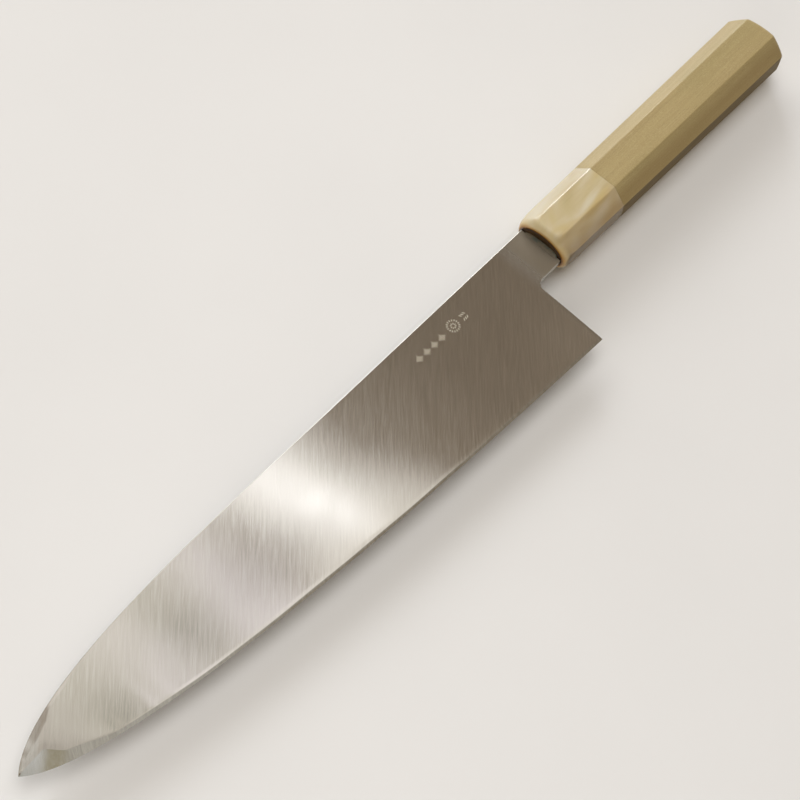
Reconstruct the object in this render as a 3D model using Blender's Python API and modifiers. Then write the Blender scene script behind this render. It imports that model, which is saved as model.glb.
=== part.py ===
"""Gyuto (Japanese chef's knife) with an octagonal wa handle.

The knife lies flat. +X runs along the handle axis towards the butt, so the
blade's tip is at -X. +Y points to the spine and the cutting edge faces -Y.
+Z leaves the left face of the blade (left as held, tip away, edge down).
The origin is the centre of the flat butt face, on the handle axis.
Lengths along X are laid out from the ferrule's front face, station 0, and the
knife_frame empty carries every piece back so that the butt lands on the origin.

Separate pieces, as they come apart on a bench:
  blade        one steel forging: blade, choil, neck, machi shoulders, tang
  ferrule      octagonal horn ring (kuchiwa), bored oval from end to end
  handle_body  octagonal magnolia-wood grip with an oval tenon and tang slot
  mouth_seal   hard resin plug that closes the ferrule's mouth round the tang
"""
import math

import bmesh
import bpy
import numpy as np
from mathutils import Matrix, Vector
from mathutils.geometry import interpolate_bezier

MM = 0.001                     # every size below is in mm
FIT = 0.3                      # clearance left between neighbouring pieces

# ---- blade profile ---------------------------------------------------------
TIP = (-285.5, -8.8)           # point of the knife
HEEL_X, HEEL_Y = -15.6, -43.6  # heel corner of the edge
NECK_BACK_X = -FIT             # machi: the neck's shoulders stop at the ferrule
SPINE_Y_NECK = 10.0            # spine above the handle axis, at station 0
SPINE_Y_MID = 9.9              # spine where its straight run ends
SPINE_STRAIGHT_X = -110.0
SPINE_CTRL = ((-182.0, SPINE_Y_MID), (-265.0, 11.6))   # from there to the tip
EDGE_CTRL = ((-95.9, -40.7), (-260.4, -33.8))          # from heel to tip
PATH_POINTS = 400              # samples along each curve
RUN_OUT_SLOPE = 0.02           # drop per mm of the edge line behind the heel

# ---- blade cross-section ---------------------------------------------------
SPINE_HALF = 1.60              # half thickness of the spine at station 0
TAPER = 0.0027                 # half thickness lost per mm towards the tip
TIP_TAPER = 1.5e-5             # extra thinning past the straight part of spine
CHEEK_SLOPE = 0.013            # flat upper cheek thins towards the edge
CHEEK_PART = 0.34              # share of the height that is flat cheek
BEVEL_WIDTH = 1.0              # sharpened bevel, measured up from the edge
BEVEL_HALF = 0.17              # half thickness where that bevel starts
SPINE_ROUND = 0.35             # eased corners of the spine
CORNER_POINT = 0.3             # middle point of that corner, share of its size
# limits that shrink those details where the section gets small
ROUND_PER_HALF, ROUND_PER_HEIGHT = 0.3, 0.08
BEVEL_PER_HEIGHT, BEVEL_PER_HALF = 0.16, 0.45

# ---- blade mesh ------------------------------------------------------------
TIP_ZONE_X = -235.0            # columns crowd together from here to the tip
STRAIGHT_STATIONS, CURVED_STATIONS, TIP_STATIONS = 9, 15, 15
CHEEK_ROWS, FLANK_ROWS = 3, 7
OUTER_FACE_Z = 0.8             # faces above this lie on the broad side
WELD = 1e-6                    # merge distance, m
BLADE_SMOOTH = 12              # degrees

# ---- choil and neck --------------------------------------------------------
CHOIL_X = -15.15               # front end of the choil arc, above the heel
CHOIL_R = 3.75
CHOIL_ARC_POINTS = 9
NECK_BOTTOM_Y = -10.1
CUT_BOTTOM_Y = -60.0           # the cutter's reach below the heel
CUT_BACK_X = 6.0
CUT_RISE = 0.1                 # rise of the cutter's top towards its back end
CUT_HALF = 6.0                 # half thickness of the cutter

# ---- hidden tang -----------------------------------------------------------
TANG_X0, TANG_X1 = -6.0, 98.0
TANG_H0, TANG_H1 = 12.6, 5.4   # height at the root and at the end
TANG_T0, TANG_T1 = 2.3, 1.8    # thickness at the root and at the end
SLOT_FRONT_X = -3.0            # slot cutters start ahead of the ferrule
SLOT_END_GAP = 1.0             # slot left open past the tang's end
SEAL_SLOT_BACK_X = 6.0

# ---- handle ----------------------------------------------------------------
HANDLE_LEN = 145.0
FERRULE_LEN = 36.0
FRONT_H, FRONT_T, FRONT_C = 24.6, 20.2, 6.25      # height, width, corner leg
BUTT_H, BUTT_T, BUTT_C = 27.2, 22.4, 6.95
MID_STATION = HANDLE_LEN * 0.6
RIDGE_ROUND = 1.0              # softening of the eight long ridges
FERRULE_NOSE = 2.6             # rounding of the ferrule's front rim
FERRULE_SOFTENING = 1.3        # ridge softening gained per mm of rim inset
BUTT_NOSE = 2.0                # rounding of the butt's rim
NOSE_STEPS = 4
BORE_Y, BORE_Z = 9.0, 6.3      # half axes of the oval bore
BORE_OVERRUN = 5.0             # bore cutter past both ends of the ferrule
PLUG_Y, PLUG_Z = BORE_Y - FIT, BORE_Z - FIT       # tenon and seal in the bore
OVAL_SEGMENTS = 40
TENON_ROOT = 4.0               # tenon rod carried on past the ferrule's length
SEAL_DEPTH = 2.4
HANDLE_SMOOTH = 25             # degrees


# ---- scene -----------------------------------------------------------------
for old in list(bpy.data.objects):
    bpy.data.objects.remove(old, do_unlink=True)

parts = bpy.data.collections.new("gyuto_knife")
cutters = bpy.data.collections.new("gyuto_cutters")
for collection in (parts, cutters):
    bpy.context.scene.collection.children.link(collection)

frame = bpy.data.objects.new("knife_frame", None)
frame.location = (-HANDLE_LEN * MM, 0.0, 0.0)
parts.objects.link(frame)


def material(name, color, roughness, metallic=0.0):
    mat = bpy.data.materials.new(name)
    mat.use_nodes = True
    shader = next(n for n in mat.node_tree.nodes if n.type == "BSDF_PRINCIPLED")
    shader.inputs["Base Color"].default_value = (*color, 1.0)
    shader.inputs["Roughness"].default_value = roughness
    shader.inputs["Metallic"].default_value = metallic
    mat.diffuse_color = (*color, 1.0)
    return mat


STEEL = material("satin_steel", color=(0.56, 0.55, 0.52), roughness=0.34, metallic=1.0)
HORN = material("blond_horn", color=(0.68, 0.58, 0.40), roughness=0.22)
WOOD = material("magnolia_wood", color=(0.58, 0.47, 0.28), roughness=0.55)
RESIN = material("dark_resin", color=(0.10, 0.055, 0.03), roughness=0.35)


# ---- objects and modifiers -------------------------------------------------
def framed_object(mesh, name, collection):
    ob = bpy.data.objects.new(name, mesh)
    collection.objects.link(ob)
    ob.parent = frame
    return ob


def part(name, mesh, mat, smooth_angle):
    """A visible piece; edges sharper than smooth_angle (degrees) stay crisp."""
    mesh.materials.append(mat)
    mesh.shade_smooth()
    mesh.set_sharp_from_angle(angle=math.radians(smooth_angle))
    return framed_object(mesh, name, parts)


def cutter(mesh, name):
    """A hidden helper that boolean modifiers refer to."""
    ob = framed_object(mesh, name, cutters)
    ob.hide_render = True
    ob.display_type = "WIRE"
    return ob


def boolean(ob, other, operation):
    mod = ob.modifiers.new(operation.lower() + "_" + other.name, "BOOLEAN")
    mod.operation = operation
    mod.object = other
    mod.solver = "EXACT"


# ---- basic solids ----------------------------------------------------------
def to_mesh(name, bm):
    mesh = bpy.data.meshes.new(name)
    bm.to_mesh(mesh)
    bm.free()
    return mesh


def tapered_bar(name, front, back):
    """A box drawn out along X; each end is (x, height, thickness)."""
    bm = bmesh.new()
    bmesh.ops.create_cube(bm, size=1.0)
    for v in bm.verts:
        x, height, thickness = back if v.co.x > 0 else front
        v.co = Vector((x, math.copysign(height / 2, v.co.y),
                       math.copysign(thickness / 2, v.co.z))) * MM
    return to_mesh(name, bm)


def oval_rod(name, front_x, back_x, half_y, half_z):
    """A cylinder along X, flattened to an oval."""
    bm = bmesh.new()
    bmesh.ops.create_cone(bm, cap_ends=True, segments=OVAL_SEGMENTS,
                          radius1=1.0, radius2=1.0, depth=1.0)
    turn = Matrix.Rotation(math.pi / 2, 4, "Y")
    bmesh.ops.transform(bm, matrix=turn, verts=bm.verts)
    for v in bm.verts:
        x = front_x if v.co.x < 0 else back_x
        v.co = Vector((x, v.co.y * half_y, v.co.z * half_z)) * MM
    return to_mesh(name, bm)


def skin(bm, loops, closed):
    """Quads between neighbouring loops of vertices."""
    count = len(loops[0])
    for a, b in zip(loops, loops[1:]):
        for i in range(count if closed else count - 1):
            j = (i + 1) % count
            bm.faces.new((a[i], a[j], b[j], b[i]))


def loft(name, rings):
    """A solid through closed rings, capped at both ends."""
    bm = bmesh.new()
    loops = [[bm.verts.new(p) for p in ring] for ring in rings]
    skin(bm, loops, closed=True)
    bm.faces.new(loops[0])
    bm.faces.new(list(reversed(loops[-1])))
    bmesh.ops.recalc_face_normals(bm, faces=bm.faces)
    return to_mesh(name, bm)


# ---- blade -----------------------------------------------------------------
def bezier(*controls):
    points = interpolate_bezier(*(Vector((*c, 0)) for c in controls), PATH_POINTS)
    return np.array([(p.x, p.y) for p in points])


spine_path = bezier((SPINE_STRAIGHT_X, SPINE_Y_MID), *SPINE_CTRL, TIP)
edge_path = bezier((HEEL_X, HEEL_Y), *EDGE_CTRL, TIP)


def path_y(path, x):
    # x falls along the path, and np.interp needs rising values
    return float(np.interp(-x, -path[:, 0], path[:, 1]))


def spine_y(x):
    if x >= SPINE_STRAIGHT_X:
        share = x / SPINE_STRAIGHT_X
        return SPINE_Y_NECK + (SPINE_Y_MID - SPINE_Y_NECK) * share
    return path_y(spine_path, x)


def edge_y(x):
    if x >= HEEL_X:            # run-out under the neck, cut away by the choil
        return HEEL_Y - RUN_OUT_SLOPE * (x - HEEL_X)
    return path_y(edge_path, x)


def spine_half(x):
    half = SPINE_HALF + TAPER * x
    if x < SPINE_STRAIGHT_X:
        half -= TIP_TAPER * (x - SPINE_STRAIGHT_X) ** 2
    return half


def column(x):
    """One section of the half blade, from mid spine down to the edge."""
    top, bottom = spine_y(x), edge_y(x)
    height = top - bottom
    half = spine_half(x)
    corner = min(SPINE_ROUND, ROUND_PER_HALF * half, ROUND_PER_HEIGHT * height)
    corner_mid = CORNER_POINT * corner
    cheek_top = top - corner
    flank_top = top - CHEEK_PART * height
    bevel_top = bottom + min(BEVEL_WIDTH, BEVEL_PER_HEIGHT * height)
    bevel_half = min(BEVEL_HALF, BEVEL_PER_HALF * half)
    # the flank curves in from the cheek's plane to meet the bevel
    plane_half = half - CHEEK_SLOPE * (top - bevel_top)
    hollow = (plane_half - bevel_half) / (flank_top - bevel_top) ** 2

    def side_point(y):
        z = half - CHEEK_SLOPE * (top - y)
        if y < flank_top:
            z -= hollow * (flank_top - y) ** 2
        return y, z

    rows = [(top, 0.0), (top, half - corner),
            (top - corner_mid, half - corner_mid), side_point(cheek_top)]
    for start, end, count in ((cheek_top, flank_top, CHEEK_ROWS),
                              (flank_top, bevel_top, FLANK_ROWS)):
        rows += [side_point(start + (end - start) * i / count)
                 for i in range(1, count + 1)]
    rows.append((bottom, 0.0))
    return [Vector((x, y, z)) * MM for y, z in rows]


def blade_stations():
    xs = list(np.linspace(NECK_BACK_X, SPINE_STRAIGHT_X, STRAIGHT_STATIONS))
    xs += list(np.linspace(SPINE_STRAIGHT_X, TIP_ZONE_X, CURVED_STATIONS)[1:])
    xs += [TIP_ZONE_X + (TIP[0] - TIP_ZONE_X) * math.sin(share * math.pi / 2)
           for share in np.linspace(0, 1, TIP_STATIONS)[1:-1]]
    return xs


def blade_mesh():
    """The +Z half of the blade, open along the middle plane."""
    bm = bmesh.new()
    columns = [[bm.verts.new(p) for p in column(x)] for x in blade_stations()]
    skin(bm, columns, closed=False)
    # the last column closes on the point of the knife
    tip = bm.verts.new(Vector((*TIP, 0.0)) * MM)
    for upper, lower in zip(columns[-1], columns[-1][1:]):
        bm.faces.new((upper, lower, tip))
    # flat back of the neck
    bm.faces.new(list(reversed(columns[0])))
    # an open shell may be recalculated inside out, so face the broad side to +Z
    bmesh.ops.recalc_face_normals(bm, faces=bm.faces)
    outer = [f for f in bm.faces if f.calc_center_median().z > OUTER_FACE_Z * MM]
    if sum(f.normal.z for f in outer) < 0:
        bmesh.ops.reverse_faces(bm, faces=bm.faces)
    return to_mesh("blade", bm)


def choil_outline():
    """Area below the neck and behind the heel, with the choil arc."""
    arc = [(CHOIL_X + CHOIL_R * (1 - math.cos(a)),
            NECK_BOTTOM_Y - CHOIL_R * (1 - math.sin(a)))
           for a in np.linspace(0, math.pi / 2, CHOIL_ARC_POINTS)]
    return [(HEEL_X, CUT_BOTTOM_Y), (HEEL_X, HEEL_Y), *arc,
            (CUT_BACK_X, NECK_BOTTOM_Y + CUT_RISE), (CUT_BACK_X, CUT_BOTTOM_Y)]


def plate_mesh(name, outline, half_thickness):
    """A flat outline as a 2D curve, extruded and made into a mesh."""
    data = bpy.data.curves.new(name + "_outline", "CURVE")
    data.dimensions = "2D"
    data.fill_mode = "BOTH"
    data.extrude = half_thickness * MM
    spline = data.splines.new("POLY")
    spline.points.add(len(outline) - 1)
    for point, (x, y) in zip(spline.points, outline):
        point.co = (x * MM, y * MM, 0.0, 1.0)
    spline.use_cyclic_u = True
    curve = bpy.data.objects.new(name + "_curve", data)
    cutters.objects.link(curve)
    bpy.context.view_layer.update()
    depsgraph = bpy.context.evaluated_depsgraph_get()
    mesh = bpy.data.meshes.new_from_object(curve.evaluated_get(depsgraph))
    bpy.data.objects.remove(curve, do_unlink=True)
    # weld the caps to the walls
    bm = bmesh.new()
    bm.from_mesh(mesh)
    bmesh.ops.remove_doubles(bm, verts=bm.verts, dist=WELD)
    bmesh.ops.recalc_face_normals(bm, faces=bm.faces)
    bm.to_mesh(mesh)
    bm.free()
    return mesh


def build_blade():
    blade = part("blade", blade_mesh(), STEEL, BLADE_SMOOTH)
    mirror = blade.modifiers.new("other_face", "MIRROR")
    mirror.use_axis = (False, False, True)
    mirror.merge_threshold = WELD

    name = "choil_cutter"
    choil = cutter(plate_mesh(name, choil_outline(), CUT_HALF), name)
    boolean(blade, choil, "DIFFERENCE")

    name = "tang_bar"
    bar = tapered_bar(name, (TANG_X0, TANG_H0, TANG_T0), (TANG_X1, TANG_H1, TANG_T1))
    boolean(blade, cutter(bar, name), "UNION")


# ---- handle ----------------------------------------------------------------
def cut_tang_slot(ob, name, front_x, back_x):
    """Cut the tang's taper, with clearance all round, out of a piece."""
    def section(x):
        share = (x - TANG_X0) / (TANG_X1 - TANG_X0)
        return (x, TANG_H0 + (TANG_H1 - TANG_H0) * share + 2 * FIT,
                TANG_T0 + (TANG_T1 - TANG_T0) * share + 2 * FIT)

    bar = tapered_bar(name, section(front_x), section(back_x))
    boolean(ob, cutter(bar, name), "DIFFERENCE")


def octagon(x, inset=0.0, soften=RIDGE_ROUND):
    """Ring of an octagon at x: eight flats joined by small ridge arcs."""
    share = x / HANDLE_LEN
    half_h = (FRONT_H + (BUTT_H - FRONT_H) * share) / 2 - inset
    half_t = (FRONT_T + (BUTT_T - FRONT_T) * share) / 2 - inset
    leg = FRONT_C + (BUTT_C - FRONT_C) * share - (2 - math.sqrt(2)) * inset
    flat_h, flat_t = half_h - leg, half_t - leg
    # (y, z) of the sharp corners, turning from +Y towards +Z
    corners = [(half_h, flat_t), (flat_h, half_t), (-flat_h, half_t), (-half_h, flat_t),
               (-half_h, -flat_t), (-flat_h, -half_t), (flat_h, -half_t), (half_h, -flat_t)]
    reach = soften / math.cos(math.pi / 8)     # from corner to arc centre
    ring = []
    for k, (corner_y, corner_z) in enumerate(corners):
        middle = math.pi / 4 * (k + 0.5)
        centre_y = corner_y - reach * math.cos(middle)
        centre_z = corner_z - reach * math.sin(middle)
        for step in (-1, 0, 1):
            angle = middle + step * math.pi / 8
            ring.append(Vector((x, centre_y + soften * math.cos(angle),
                                centre_z + soften * math.sin(angle))) * MM)
    return ring


def nose(x_end, inward, radius):
    """(x, inset) stations of a quarter-round rim, starting flat at x_end."""
    angles = [math.pi / 2 * i / NOSE_STEPS for i in range(NOSE_STEPS + 1)]
    return [(x_end + inward * radius * (1 - math.cos(a)),
             radius * (1 - math.sin(a))) for a in angles]


def build_ferrule():
    rings = [octagon(x, inset, RIDGE_ROUND + FERRULE_SOFTENING * inset)
             for x, inset in nose(0.0, 1, FERRULE_NOSE)]
    rings.append(octagon(FERRULE_LEN - FIT / 2))
    ferrule = part("ferrule", loft("ferrule", rings), HORN, HANDLE_SMOOTH)

    name = "ferrule_bore"
    rod = oval_rod(name, -BORE_OVERRUN, FERRULE_LEN + BORE_OVERRUN, BORE_Y, BORE_Z)
    boolean(ferrule, cutter(rod, name), "DIFFERENCE")


def build_handle_body():
    rings = [octagon(FERRULE_LEN + FIT / 2), octagon(MID_STATION)]
    rings += [octagon(x, inset, RIDGE_ROUND + inset)
              for x, inset in reversed(nose(HANDLE_LEN, -1, BUTT_NOSE))]
    body = part("handle_body", loft("handle_body", rings), WOOD, HANDLE_SMOOTH)

    name = "tenon_rod"
    rod = oval_rod(name, SEAL_DEPTH + FIT, FERRULE_LEN + TENON_ROOT, PLUG_Y, PLUG_Z)
    boolean(body, cutter(rod, name), "UNION")
    cut_tang_slot(body, "tang_slot", SLOT_FRONT_X, TANG_X1 + SLOT_END_GAP)


def build_mouth_seal():
    plug = oval_rod("mouth_seal", 0.0, SEAL_DEPTH, PLUG_Y, PLUG_Z)
    seal = part("mouth_seal", plug, RESIN, HANDLE_SMOOTH)
    cut_tang_slot(seal, "seal_slot", SLOT_FRONT_X, SEAL_SLOT_BACK_X)


build_blade()
build_ferrule()
build_handle_body()
build_mouth_seal()
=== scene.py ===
"""A kitchen knife with a chiselled ornament, an octagonal wooden handle and a horn ferrule.

It lies on its right cheek. The tip points along -X, the handle along +X, the cutting edge
faces -Y, the spine +Y, and the ornamented left cheek looks up, +Z. Pieces are drawn in
millimetres, with x = 0 at the ferrule's front face and y = z = 0 on the handle's axis.
Shaders, lights and the camera use metres.
"""
import math

import bmesh
import bpy
import numpy as np
from mathutils import Matrix, Vector
from mathutils.geometry import interpolate_bezier


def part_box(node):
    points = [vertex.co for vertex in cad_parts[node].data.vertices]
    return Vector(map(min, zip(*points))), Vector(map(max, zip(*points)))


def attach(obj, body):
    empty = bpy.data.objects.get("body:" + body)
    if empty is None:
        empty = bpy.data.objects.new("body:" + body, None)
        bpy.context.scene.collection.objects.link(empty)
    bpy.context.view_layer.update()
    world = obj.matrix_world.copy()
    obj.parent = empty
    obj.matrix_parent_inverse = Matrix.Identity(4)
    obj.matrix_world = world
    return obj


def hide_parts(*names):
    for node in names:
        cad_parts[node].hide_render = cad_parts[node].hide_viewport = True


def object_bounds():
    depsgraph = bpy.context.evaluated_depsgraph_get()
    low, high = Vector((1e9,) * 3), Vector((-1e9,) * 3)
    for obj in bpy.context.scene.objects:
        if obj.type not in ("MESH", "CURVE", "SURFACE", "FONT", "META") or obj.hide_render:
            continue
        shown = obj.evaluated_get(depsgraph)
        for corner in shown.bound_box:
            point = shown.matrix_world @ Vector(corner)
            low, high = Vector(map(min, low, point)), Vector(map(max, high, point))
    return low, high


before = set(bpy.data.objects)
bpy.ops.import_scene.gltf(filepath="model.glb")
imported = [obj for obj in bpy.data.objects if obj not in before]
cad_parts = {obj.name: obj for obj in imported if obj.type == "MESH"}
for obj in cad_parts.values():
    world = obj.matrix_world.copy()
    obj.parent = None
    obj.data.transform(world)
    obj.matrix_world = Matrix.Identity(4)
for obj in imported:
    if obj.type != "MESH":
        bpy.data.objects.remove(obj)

cad_lo, cad_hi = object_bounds()
MM = 0.001

# ---------------------------------------------------------------------------
# sizes read from the loaded pieces (mm)
# ---------------------------------------------------------------------------
blade_lo, blade_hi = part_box("blade")
ferrule_lo, ferrule_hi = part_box("ferrule")
_, body_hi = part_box("handle_body")

FRONT = ferrule_lo.x             # metres: where the pieces' x = 0 lies


def station(x):
    """Distance in mm of a place along X behind the ferrule's front face."""
    return round((x - FRONT) / MM, 3)


TIP_X = station(blade_lo.x) + 0.005
TANG_END = station(blade_hi.x)
EDGE_LOW = blade_lo.y / MM
SPINE_HALF = blade_hi.z / MM
HANDLE_LEN = station(body_hi.x)
# the joint between ferrule and wood
SEAM_X = round((ferrule_hi.x - FRONT) / MM + 0.15, 3)
BUTT_HEIGHT = 2 * body_hi.y / MM
BUTT_THICKNESS = 2 * body_hi.z / MM

# ---------------------------------------------------------------------------
# blade sizes (mm)
# ---------------------------------------------------------------------------
TIP_Y = -8.8
HEEL_X, HEEL_Y = -15.6, -43.6
SPINE_AT_HANDLE = 10.0
SPINE_MID, SPINE_STRAIGHT_X = 9.9, -110.0    # the spine is straight back from here
SPINE_CTRL = ((-182.0, 9.9), (-265.0, 11.6))
EDGE_CTRL = ((-95.9, -40.7), (-260.4, -33.8))
CURVE_POINTS = 600
HEEL_SLOPE = 0.02                # of the edge line behind the heel

TAPER, TIP_TAPER = 0.0027, 1.5e-5            # thinning of the spine along the blade
CHEEK_SLOPE, CHEEK_PART = 0.013, 0.34        # the straight cheek and its share of the height
CHEEK_PART_LOSS = 0.2            # what that share loses at the tip
EDGE_CORNER = 0.38               # radius of the spine's eased corner

BEVEL_WIDTH = 1.15
# amplitude, rate per mm and phase
BEVEL_WAVES = ((0.08, 0.071, 0.6), (0.05, 0.19, 2.0))
# extra width, and the stretch of x over which it comes in
BEVEL_WIDENING = ((0.2, -222.0, -248.0), (2.8, -250.0, -269.0), (4.4, -267.5, -274.5))
BEVEL_LEAN, LEAN_WAVE = 0.19, (0.03, 0.36, 1.0)   # half thickness per width; its wave
LEAN_WAVE_ON = (-222, -250)

# facets along the spine at the tip: widths, and the stretches of x of each change
FACET_WIDTH, FACET_EXTRA, SLIVER_WIDTH = 1.3, 0.5, 1.25
FACET_ON, FACET_WIDER, FACET_OFF = (-244.0, -255.0), (-262.0, -272.0), (-284.5, -279.0)
SLIVER_ON, SLIVER_OFF = (-262.0, -266.5), (-279.6, -272.8)
FACET_SLOPE, SLIVER_SLOPE = 0.048, 0.062

TIP_ZONE_X = -235.0              # sections crowd together from here to the tip

NECK_BACK_X, NECK_BOTTOM_Y = -0.3, -10.1
CHOIL_X, CHOIL_R = -15.15, 3.75
CHOIL_PLATE_HALF = 6.0
CHOIL_CUT_BACK_X, CHOIL_CUT_LOW_Y = 6.0, -60.0
CHOIL_EASE = 0.22

ROOT_X = (-1.2, 1.15)            # the block that joins blade and tang
ROOT_SIZE = (15.6, 3.1)          # height, thickness
TANG_X0 = -6.0
TANG_FRONT, TANG_BACK = (12.6, 2.3), (5.4, 1.8)   # height, thickness

# chisel nicks
NICK_WIDTH, NICK_DEPTH, NICK_RISE = 0.34, 0.09, 0.035    # rise: cutter above the cheek

# ---------------------------------------------------------------------------
# handle sizes (mm)
# ---------------------------------------------------------------------------
FRONT_HEIGHT, FRONT_THICKNESS = 24.6, 20.2
FRONT_CHAMFER, BUTT_CHAMFER = 6.25, 6.95
BORE_Y, BORE_Z = 9.0, 6.3        # half axes of the ferrule's oval bore
LIP_Y, LIP_Z, LIP_X = 10.4, 6.75, 3.1    # oval mouth, and where its rounding starts
RIDGE_R = 1.1                    # rounding of the octagon's ridges
BUTT_RIDGE_LOSS = 0.2
FERRULE_ARC, BODY_ARC, BODY_FLAT = 12, 6, 7   # steps round a ridge, extra points on a flat
SEAM_GAP, SEAM_INSET, SEAM_EASE = 0.008, 0.006, 0.03    # how both sides stop at the seam
BUTT_ROUND_X, BUTT_ROUND_IN = 1.9, 2.2    # rounding of the butt's rim
BUTT_CROWN = 0.6                 # height of the butt's dome
DOME_SHARES = (0.9, 0.75, 0.55, 0.35, 0.15)
TENON_FIT, SLOT_FIT, SEAL_FIT = 0.02, 0.3, 0.03
CUT_START_X = -3.0               # the slots start in front of the handle
OVAL_SEGMENTS = 96


# ---------------------------------------------------------------------------
# helpers
# ---------------------------------------------------------------------------
def point(x, y, z):
    return Vector((x, y, z)) * MM


def link_mesh(name, bm, *materials):
    """Makes a linked object of bm, which is freed."""
    mesh = bpy.data.meshes.new(name)
    bm.to_mesh(mesh)
    bm.free()
    ob = bpy.data.objects.new(name, mesh)
    bpy.context.scene.collection.objects.link(ob)
    for material in materials:
        mesh.materials.append(material)
    return ob


def bake(ob):
    """Turns the modifiers of ob into its mesh."""
    bpy.context.view_layer.update()
    deps = bpy.context.evaluated_depsgraph_get()
    mesh = bpy.data.meshes.new_from_object(ob.evaluated_get(deps),
                                           preserve_all_data_layers=True,
                                           depsgraph=deps)
    if not mesh.polygons:
        raise RuntimeError(ob.name + " came out empty")
    ob.modifiers.clear()
    ob.data = mesh
    return ob


def measure(ob):
    """Volume in mm3 and number of open edges."""
    bm = bmesh.new()
    bm.from_mesh(ob.data)
    open_edges = sum(1 for edge in bm.edges if len(edge.link_faces) != 2)
    volume = bm.calc_volume(signed=True) / MM ** 3
    bm.free()
    return volume, open_edges


def cut(ob, cutter, operation="DIFFERENCE"):
    """Applies a boolean with the cutter, then removes the cutter."""
    before = measure(ob)[0]
    mod = ob.modifiers.new("cut", "BOOLEAN")
    mod.operation = operation
    mod.object = cutter
    mod.solver = "EXACT"
    mod.material_mode = "TRANSFER"
    bake(ob)
    after, open_edges = measure(ob)
    grew = after > before
    if open_edges or grew != (operation == "UNION") or after < 0.2 * before:
        raise RuntimeError("%s: %s with %s went wrong: %.1f to %.1f mm3, %d open edges"
                           % (ob.name, operation, cutter.name, before, after, open_edges))
    bpy.data.objects.remove(cutter, do_unlink=True)


def smooth(start, end, value):
    """Smooth step from 0 at start to 1 at end."""
    t = min(1.0, max(0.0, (value - start) / (end - start)))
    return t * t * (3 - 2 * t)


def wave(amplitude, rate, phase, x):
    return amplitude * math.sin(x * rate + phase)


def shade(mesh, sharp_angle):
    mesh.shade_smooth()
    mesh.set_sharp_from_angle(angle=math.radians(sharp_angle))


def finish_mesh(ob, material, sharp_angle):
    ob.data.materials.clear()
    ob.data.materials.append(material)
    shade(ob.data, sharp_angle)


def tapered_bar(name, x0, x1, front_size, back_size, *materials):
    """A bar along X; each size is height (Y) and thickness (Z)."""
    bm = bmesh.new()
    bmesh.ops.create_cube(bm, size=1.0)
    for vert in bm.verts:
        back = vert.co.x > 0
        height, thickness = back_size if back else front_size
        vert.co = point(x1 if back else x0,
                        math.copysign(height / 2, vert.co.y),
                        math.copysign(thickness / 2, vert.co.z))
    return link_mesh(name, bm, *materials)


# ---------------------------------------------------------------------------
# blade: outline and cross-section
# ---------------------------------------------------------------------------
def bezier(*controls):
    points = interpolate_bezier(*(Vector((*control, 0)) for control in controls),
                                CURVE_POINTS)
    return np.array([(p.x, p.y) for p in points])


spine_path = bezier((SPINE_STRAIGHT_X, SPINE_MID), *SPINE_CTRL, (TIP_X, TIP_Y))
edge_path = bezier((HEEL_X, HEEL_Y), *EDGE_CTRL, (TIP_X, TIP_Y))


def path_y(path, x):
    return float(np.interp(-x, -path[:, 0], path[:, 1]))


def spine_y(x):
    if x >= SPINE_STRAIGHT_X:
        return SPINE_AT_HANDLE + (SPINE_MID - SPINE_AT_HANDLE) * x / SPINE_STRAIGHT_X
    return path_y(spine_path, x)


def edge_y(x):
    if x >= HEEL_X:
        return HEEL_Y - HEEL_SLOPE * (x - HEEL_X)
    return path_y(edge_path, x)


def spine_half(x):
    """Half the spine's thickness."""
    half = SPINE_HALF + TAPER * x
    if x < SPINE_STRAIGHT_X:
        half -= TIP_TAPER * (x - SPINE_STRAIGHT_X) ** 2
    return half


def bevel_width(x):
    """Width of the cutting bevel: it wanders a little and widens towards the tip."""
    width = BEVEL_WIDTH + sum(wave(*terms, x) for terms in BEVEL_WAVES)
    for extra, start, end in BEVEL_WIDENING:
        width += extra * smooth(start, end, x)
    return width


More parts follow.
